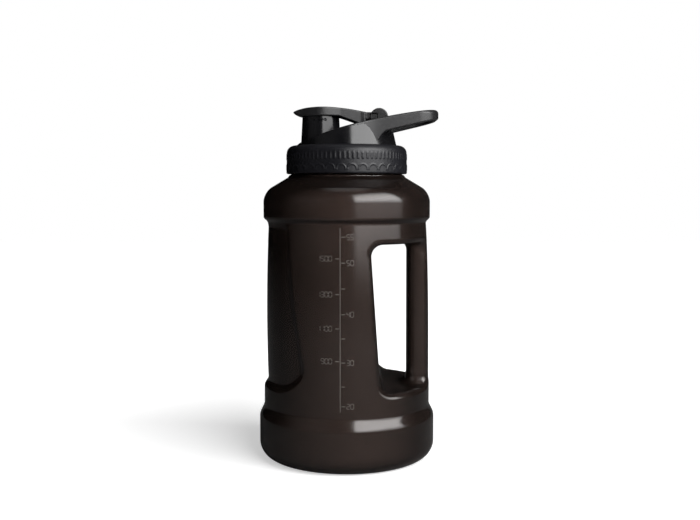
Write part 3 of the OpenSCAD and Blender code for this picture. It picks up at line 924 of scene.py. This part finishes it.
def build_handling_wear():
    """Edges rubbed paler and smoother, and fine scuffs where hands and bags touch."""
    group, given, out = new_group(
        "handling_wear",
        [("Colour", COLOUR, GREY), ("Roughness", NUMBER, 0.4), ("Worn Colour", COLOUR, (0.3, 0.3, 0.3, 1.0)),
         ("Edges", NUMBER, 0.3), ("Scuffs", NUMBER, 0.2)],
        [("Colour", COLOUR), ("Roughness", NUMBER)])
    where = add(group, "ShaderNodeTexCoord").outputs["Object"]
    ridge = remap(group, add(group, "ShaderNodeNewGeometry").outputs["Pointiness"], 0.515, 0.58)
    patches = remap(group, noise(group, where, 140.0, 4.0, 0.6), 0.42, 0.62)
    edges = sum_of(group, "MULTIPLY", sum_of(group, "MULTIPLY", ridge, patches), given.outputs["Edges"], True)
    stretch = add(group, "ShaderNodeMapping")
    stretch.inputs["Rotation"].default_value = (0.5, 0.9, 0.3)
    stretch.inputs["Scale"].default_value = (90.0, 1300.0, 1300.0)
    wire(group, [(where, stretch.inputs["Vector"])])
    lines = remap(group, noise(group, stretch.outputs["Vector"], 1.0, 2.0), 0.66, 0.74)
    where_scuffed = remap(group, noise(group, where, 45.0, 3.0), 0.5, 0.68)
    scuffs = sum_of(group, "MULTIPLY", sum_of(group, "MULTIPLY", lines, where_scuffed),
                    given.outputs["Scuffs"], True)
    worn = sum_of(group, "MAXIMUM", edges, scuffs)
    tone = blend_colour(group, worn, given.outputs["Colour"], given.outputs["Worn Colour"])
    rough = sum_of(group, "ADD", given.outputs["Roughness"], sum_of(group, "MULTIPLY", scuffs, 0.35))
    rough = sum_of(group, "SUBTRACT", rough, sum_of(group, "MULTIPLY", edges, 0.12), True)
    wire(group, [(tone, out.inputs["Colour"]), (rough, out.inputs["Roughness"])])
    return group


handling_wear = build_handling_wear()
print("handling_wear:", len(handling_wear.nodes), "nodes")

# %% Dust film


def build_dust_film():
    """A thin pale film on faces that look up, broken into specks."""
    group, given, out = new_group(
        "dust_film",
        [("Colour", COLOUR, GREY), ("Roughness", NUMBER, 0.4), ("Dust", NUMBER, 0.1)],
        [("Colour", COLOUR), ("Roughness", NUMBER)])
    where = add(group, "ShaderNodeTexCoord").outputs["Object"]
    parts = add(group, "ShaderNodeSeparateXYZ")
    wire(group, [(add(group, "ShaderNodeNewGeometry").outputs["Normal"], parts.inputs[0])])
    up = remap(group, parts.outputs["Z"], 0.2, 0.95)
    film = remap(group, noise(group, where, 60.0, 4.0), 0.35, 0.75, 0.25, 1.0)
    specks = remap(group, noise(group, where, 900.0, 1.0), 0.7, 0.76, 0.0, 1.5)
    cover = sum_of(group, "MULTIPLY", up, sum_of(group, "ADD", film, specks))
    cover = sum_of(group, "MULTIPLY", cover, given.outputs["Dust"], True)
    tone = blend_colour(group, cover, given.outputs["Colour"], (0.42, 0.4, 0.38, 1.0))
    rough = sum_of(group, "ADD", given.outputs["Roughness"], sum_of(group, "MULTIPLY", cover, 0.4), True)
    wire(group, [(tone, out.inputs["Colour"]), (rough, out.inputs["Roughness"])])
    return group


dust_film = build_dust_film()
print("dust_film:", len(dust_film.nodes), "nodes")

# %% [markdown]
# ## Finishes
#
# Black plastic is never one black. The dome is polished, the loop and the cap are satin with a fine grain,
# and the collar is matt, so the same dye looks three different greys under one light. The jug is smoke-tinted
# resin that lets light in, scatters some of it and sends it back brown.

# %% A plastic finish from the shared effects


def place(tree, group, values):
    """A node group in a material, with its own values."""
    made = add(tree, "ShaderNodeGroup", node_tree=group)
    for name, value in values.items():
        made.inputs[name].default_value = value
    return made


def plastic(name, colour, worn, tone_shift, roughness, rough_shift, grain, bump_mm, edges, scuffs, dust):
    """Material with grain, wear and dust."""
    material = bpy.data.materials.new(name)
    material.use_nodes = True
    tree = material.node_tree
    shader = shader_of(material)
    grained = place(tree, moulded_grain, {"Colour": (*colour, 1.0), "Tone Shift": tone_shift,
                                          "Roughness": roughness, "Roughness Shift": rough_shift,
                                          "Grain Scale": grain})
    rubbed = place(tree, handling_wear, {"Worn Colour": (*worn, 1.0), "Edges": edges, "Scuffs": scuffs})
    dusted = place(tree, dust_film, {"Dust": dust})
    bump = add(tree, "ShaderNodeBump")
    bump.inputs["Strength"].default_value = 1.0
    bump.inputs["Distance"].default_value = bump_mm * MM
    wire(tree, [
        (grained.outputs["Colour"], rubbed.inputs["Colour"]),
        (grained.outputs["Roughness"], rubbed.inputs["Roughness"]),
        (rubbed.outputs["Colour"], dusted.inputs["Colour"]),
        (rubbed.outputs["Roughness"], dusted.inputs["Roughness"]),
        (dusted.outputs["Colour"], shader.inputs["Base Color"]),
        (dusted.outputs["Roughness"], shader.inputs["Roughness"]),
        (grained.outputs["Height"], bump.inputs["Height"]),
        (bump.outputs["Normal"], shader.inputs["Normal"]),
    ])
    return material


def shader_of(material):
    """The shader node of a material."""
    return material.node_tree.nodes["Principled BSDF"]


smoke_plastic = plastic("smoke_plastic", (0.142, 0.100, 0.085), (0.22, 0.19, 0.17), tone_shift=0.05,
                        roughness=0.15, rough_shift=0.05, grain=300.0, bump_mm=0.004,
                        edges=0.10, scuffs=0.06, dust=0.01)
gloss_black = plastic("gloss_black", (0.002, 0.002, 0.003), (0.10, 0.10, 0.11), tone_shift=0.25,
                      roughness=0.16, rough_shift=0.06, grain=700.0, bump_mm=0.010,
                      edges=0.12, scuffs=0.20, dust=0.015)
satin_black = plastic("satin_black", (0.006, 0.006, 0.007), (0.12, 0.12, 0.13), tone_shift=0.2,
                      roughness=0.34, rough_shift=0.08, grain=2600.0, bump_mm=0.035,
                      edges=0.15, scuffs=0.25, dust=0.02)
collar_matt = plastic("collar_matt", (0.003, 0.003, 0.0055), (0.10, 0.10, 0.11), tone_shift=0.2,
                      roughness=0.42, rough_shift=0.10, grain=2200.0, bump_mm=0.05,
                      edges=0.25, scuffs=0.25, dust=0.02)
grey_silicone = plastic("grey_silicone", (0.055, 0.055, 0.058), (0.14, 0.14, 0.14), tone_shift=0.15,
                        roughness=0.55, rough_shift=0.08, grain=900.0, bump_mm=0.03,
                        edges=0.1, scuffs=0.1, dust=0.15)
scale_ink = plastic("scale_ink", (0.115, 0.102, 0.092), (0.04, 0.034, 0.03), tone_shift=0.2,
                    roughness=0.5, rough_shift=0.1, grain=3000.0, bump_mm=0.02,
                    edges=0.2, scuffs=0.9, dust=0.0)
pin_steel = plastic("pin_steel", (0.55, 0.55, 0.57), (0.75, 0.75, 0.76), tone_shift=0.1,
                    roughness=0.28, rough_shift=0.1, grain=1500.0, bump_mm=0.01,
                    edges=0.2, scuffs=0.6, dust=0.0)
shader_of(gloss_black).inputs["Specular IOR Level"].default_value = 0.42
shader_of(collar_matt).inputs["Specular IOR Level"].default_value = 0.40
shader_of(pin_steel).inputs["Metallic"].default_value = 1.0

# %% [markdown]
# Smoke plastic is darker where the eye meets it at a slant, because the light then crosses more of it.

# %% Depth of the smoke plastic

smoke = shader_of(smoke_plastic)
smoke.inputs["Transmission Weight"].default_value = 0.84
smoke.inputs["IOR"].default_value = 1.5
smoke_tree = smoke_plastic.node_tree
tinted = smoke.inputs["Base Color"].links[0].from_socket
slant = add(smoke_tree, "ShaderNodeLayerWeight").outputs["Facing"]
slant = remap(smoke_tree, slant, 0.02, 0.42, 0.0, 0.84)
deeper = blend_colour(smoke_tree, slant, tinted, (0.020, 0.014, 0.012, 1.0))
wire(smoke_tree, [(deeper, smoke.inputs["Base Color"])])
print("finishes:", ", ".join(sorted(m.name for m in bpy.data.materials if m.use_nodes)))

# %% [markdown]
# ## Hand the pieces to the frame
#
# Every piece rides on the body that carries it in the mechanism: the jug stands still, the lid turns and
# lifts, and the cap swings with the lid. Pieces of the frame that are already right, such as the gasket and
# the pin, keep their mesh and only get a bevel and a finish.

# %% Riders and finishes


def finish_piece(piece, body, slot, material, *stands_for):
    """Gives a new piece its finish, its body and the frame pieces it stands for."""
    piece.data.materials.append(material)
    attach(piece, body)
    if stands_for:
        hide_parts(*stands_for)
    print(f"{piece.name} rides {body}")


def refinish(node_name, material, bevel_mm):
    """Better finish and softened edges for a piece of the frame."""
    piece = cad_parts[node_name]
    for index in range(max(1, len(piece.data.materials))):
        if index < len(piece.material_slots):
            piece.material_slots[index].material = material
        else:
            piece.data.materials.append(material)
    if bevel_mm:
        bevel = piece.modifiers.new("soft_edges", "BEVEL")
        bevel.width = bevel_mm * MM
        bevel.segments = 2
        bevel.limit_method = "ANGLE"
        bevel.harden_normals = True
    print(f"{node_name} keeps its shape")


finish_piece(jug, "jug", "smoke_shell", smoke_plastic, "jug_body")
finish_piece(figures, "jug", "scale_ink", scale_ink)
finish_piece(collar, "lid", "collar_plastic", collar_matt, "lid_collar")
finish_piece(dome, "lid", "gloss_black", gloss_black, "lid_dome")
finish_piece(loop, "lid", "satin_black", satin_black, "carry_loop")
finish_piece(cap, "cap", "satin_black", satin_black, "flip_cap")
refinish("scale_print", scale_ink, 0)
refinish("neck_gasket", grey_silicone, 0.2)
refinish("spout_seal", grey_silicone, 0.25)
refinish("hinge_pin", pin_steel, 0.2)

# %% [markdown]
# ## Floor, light and camera
#
# A product stands on a pale sweep with one large soft light on the right, a weaker one on the left and a gap
# between them where the camera stands: that gap is the dark stripe down the middle of the jug. The world is
# white where the camera or a ray through the plastic looks, darker to the left behind the plastic, and dim
# for everything else, as in a room where only the backdrop is lit.

# %% Floor

floor_size = 6.0
bpy.ops.mesh.primitive_plane_add(size=floor_size, location=(0, 0, 0))
floor = bpy.context.object
floor.name = "studio_floor"
floor_paint = bpy.data.materials.new("floor_paint")
floor_paint.use_nodes = True
floor_shader = floor_paint.node_tree.nodes["Principled BSDF"]
floor_shader.inputs["Base Color"].default_value = (0.9, 0.9, 0.9, 1.0)
floor_shader.inputs["Roughness"].default_value = 0.6
floor_shader.inputs["Specular IOR Level"].default_value = 0.2
sweep = floor_paint.node_tree
from_jug = add(sweep, "ShaderNodeVectorMath", operation="LENGTH")
wire(sweep, [(add(sweep, "ShaderNodeTexCoord").outputs["Object"], from_jug.inputs[0])])
# Painted light and shade: the floor glows dimmer near the jug, a painted shadow round its foot, and brighter
# further out.
glow_and_painted_shade = remap(sweep, from_jug.outputs["Value"], 0.10, 0.50, 0.52, 1.05)
floor_shader.inputs["Emission Color"].default_value = (1.0, 1.0, 1.0, 1.0)
path = add(sweep, "ShaderNodeLightPath")
straight = sum_of(sweep, "MAXIMUM", path.outputs["Is Camera Ray"], path.outputs["Is Transmission Ray"])
glow_and_painted_shade = sum_of(sweep, "MULTIPLY", glow_and_painted_shade, remap(sweep, straight, 0.0, 1.0, 0.12, 1.0))
wire(sweep, [(glow_and_painted_shade, floor_shader.inputs["Emission Strength"])])
# Glossy rays see a dark grey floor instead: painted shade in the reflections of the floor.
mirrored = add(sweep, "ShaderNodeBsdfDiffuse")
mirrored.inputs["Color"].default_value = (0.14, 0.14, 0.14, 1.0)
choice = add(sweep, "ShaderNodeMixShader")
wire(sweep, [
    (path.outputs["Is Glossy Ray"], choice.inputs[0]),
    (floor_shader.outputs[0], choice.inputs[1]),
    (mirrored.outputs[0], choice.inputs[2]),
    (choice.outputs[0], sweep.nodes["Material Output"].inputs["Surface"]),
])
floor.data.materials.append(floor_paint)

# %% Lights


def softbox(name, azimuth, height, distance, size, power, aim_z, softness):
    """Area light at an azimuth to the right of the camera, dimmer towards its sides, foot and top."""
    light = bpy.data.lights.new(name, "AREA")
    light.shape = "RECTANGLE"
    light.size, light.size_y = size
    light.energy = power
    made = bpy.data.objects.new(name, light)
    bpy.context.scene.collection.objects.link(made)
    turn = math.radians(azimuth)
    made.location = (distance * math.sin(turn), -distance * math.cos(turn), height)
    aim = Vector((0, 0, aim_z)) - made.location
    made.rotation_euler = aim.to_track_quat("-Z", "Y").to_euler()
    light.use_nodes = True
    cloth = light.node_tree
    parts = add(cloth, "ShaderNodeSeparateXYZ")
    wire(cloth, [(add(cloth, "ShaderNodeNewGeometry").outputs["Parametric"], parts.inputs[0])])
    strength = 1.0
    side_fade, low_fade, high_fade = softness
    for axis, edge, inner in (("X", 0, side_fade), ("X", 1, 1 - side_fade), ("Y", 0, low_fade),
                              ("Y", 1, 1 - high_fade)):
        strength = sum_of(cloth, "MULTIPLY", remap(cloth, parts.outputs[axis], edge, inner), strength)
    wire(cloth, [(strength, cloth.nodes["Emission"].inputs["Strength"])])
    print(f"{name}: {power} W at {azimuth} degrees")
    return made


softbox("key_softbox", azimuth=45, height=1.10, distance=1.15, size=(1.66, 2.00), power=82, aim_z=1.10,
        softness=(0.07, 0.28, 0.50))
softbox("fill_softbox", azimuth=-50, height=0.60, distance=1.20, size=(1.75, 1.0), power=0.5, aim_z=0.60,
        softness=(0.25, 0.20, 0.20))
softbox("top_softbox", azimuth=0, height=1.60, distance=0.05, size=(1.0, 1.0), power=2.0, aim_z=0.14,
        softness=(0.25, 0.25, 0.25))

world = bpy.data.worlds.new("studio_world")
bpy.context.scene.world = world
world.use_nodes = True
sky = world.node_tree
background = sky.nodes["Background"]
light_path = add(sky, "ShaderNodeLightPath")
seen = sum_of(sky, "MAXIMUM", light_path.outputs["Is Camera Ray"], light_path.outputs["Is Transmission Ray"])
heading = add(sky, "ShaderNodeSeparateXYZ")
wire(sky, [(add(sky, "ShaderNodeTexCoord").outputs["Generated"], heading.inputs[0])])
backdrop = remap(sky, heading.outputs["X"], -0.08, 0.08, 0.16, 1.35)
for_camera = light_path.outputs["Is Camera Ray"]
backdrop = sum_of(sky, "MULTIPLY", backdrop, sum_of(sky, "SUBTRACT", 1.0, for_camera))
backdrop = sum_of(sky, "ADD", backdrop, for_camera)
level = sum_of(sky, "MULTIPLY", backdrop, remap(sky, seen, 0.0, 1.0, 0.011, 1.0))
wire(sky, [(level, background.inputs["Strength"])])
background.inputs["Color"].default_value = (1.0, 1.0, 1.0, 1.0)

# %% Camera

camera_data = bpy.data.cameras.new("camera")
camera_data.lens = 50.0
camera_data.sensor_width = 36.0
camera = bpy.data.objects.new("camera", camera_data)
camera.location = (0.00249, -0.7358, 0.2023)
camera.rotation_euler = (math.radians(90 - 4.118), 0, 0)
bpy.context.scene.collection.objects.link(camera)
bpy.context.scene.camera = camera
bpy.context.scene.view_settings.view_transform = "Standard"
bpy.context.scene.view_settings.look = "None"
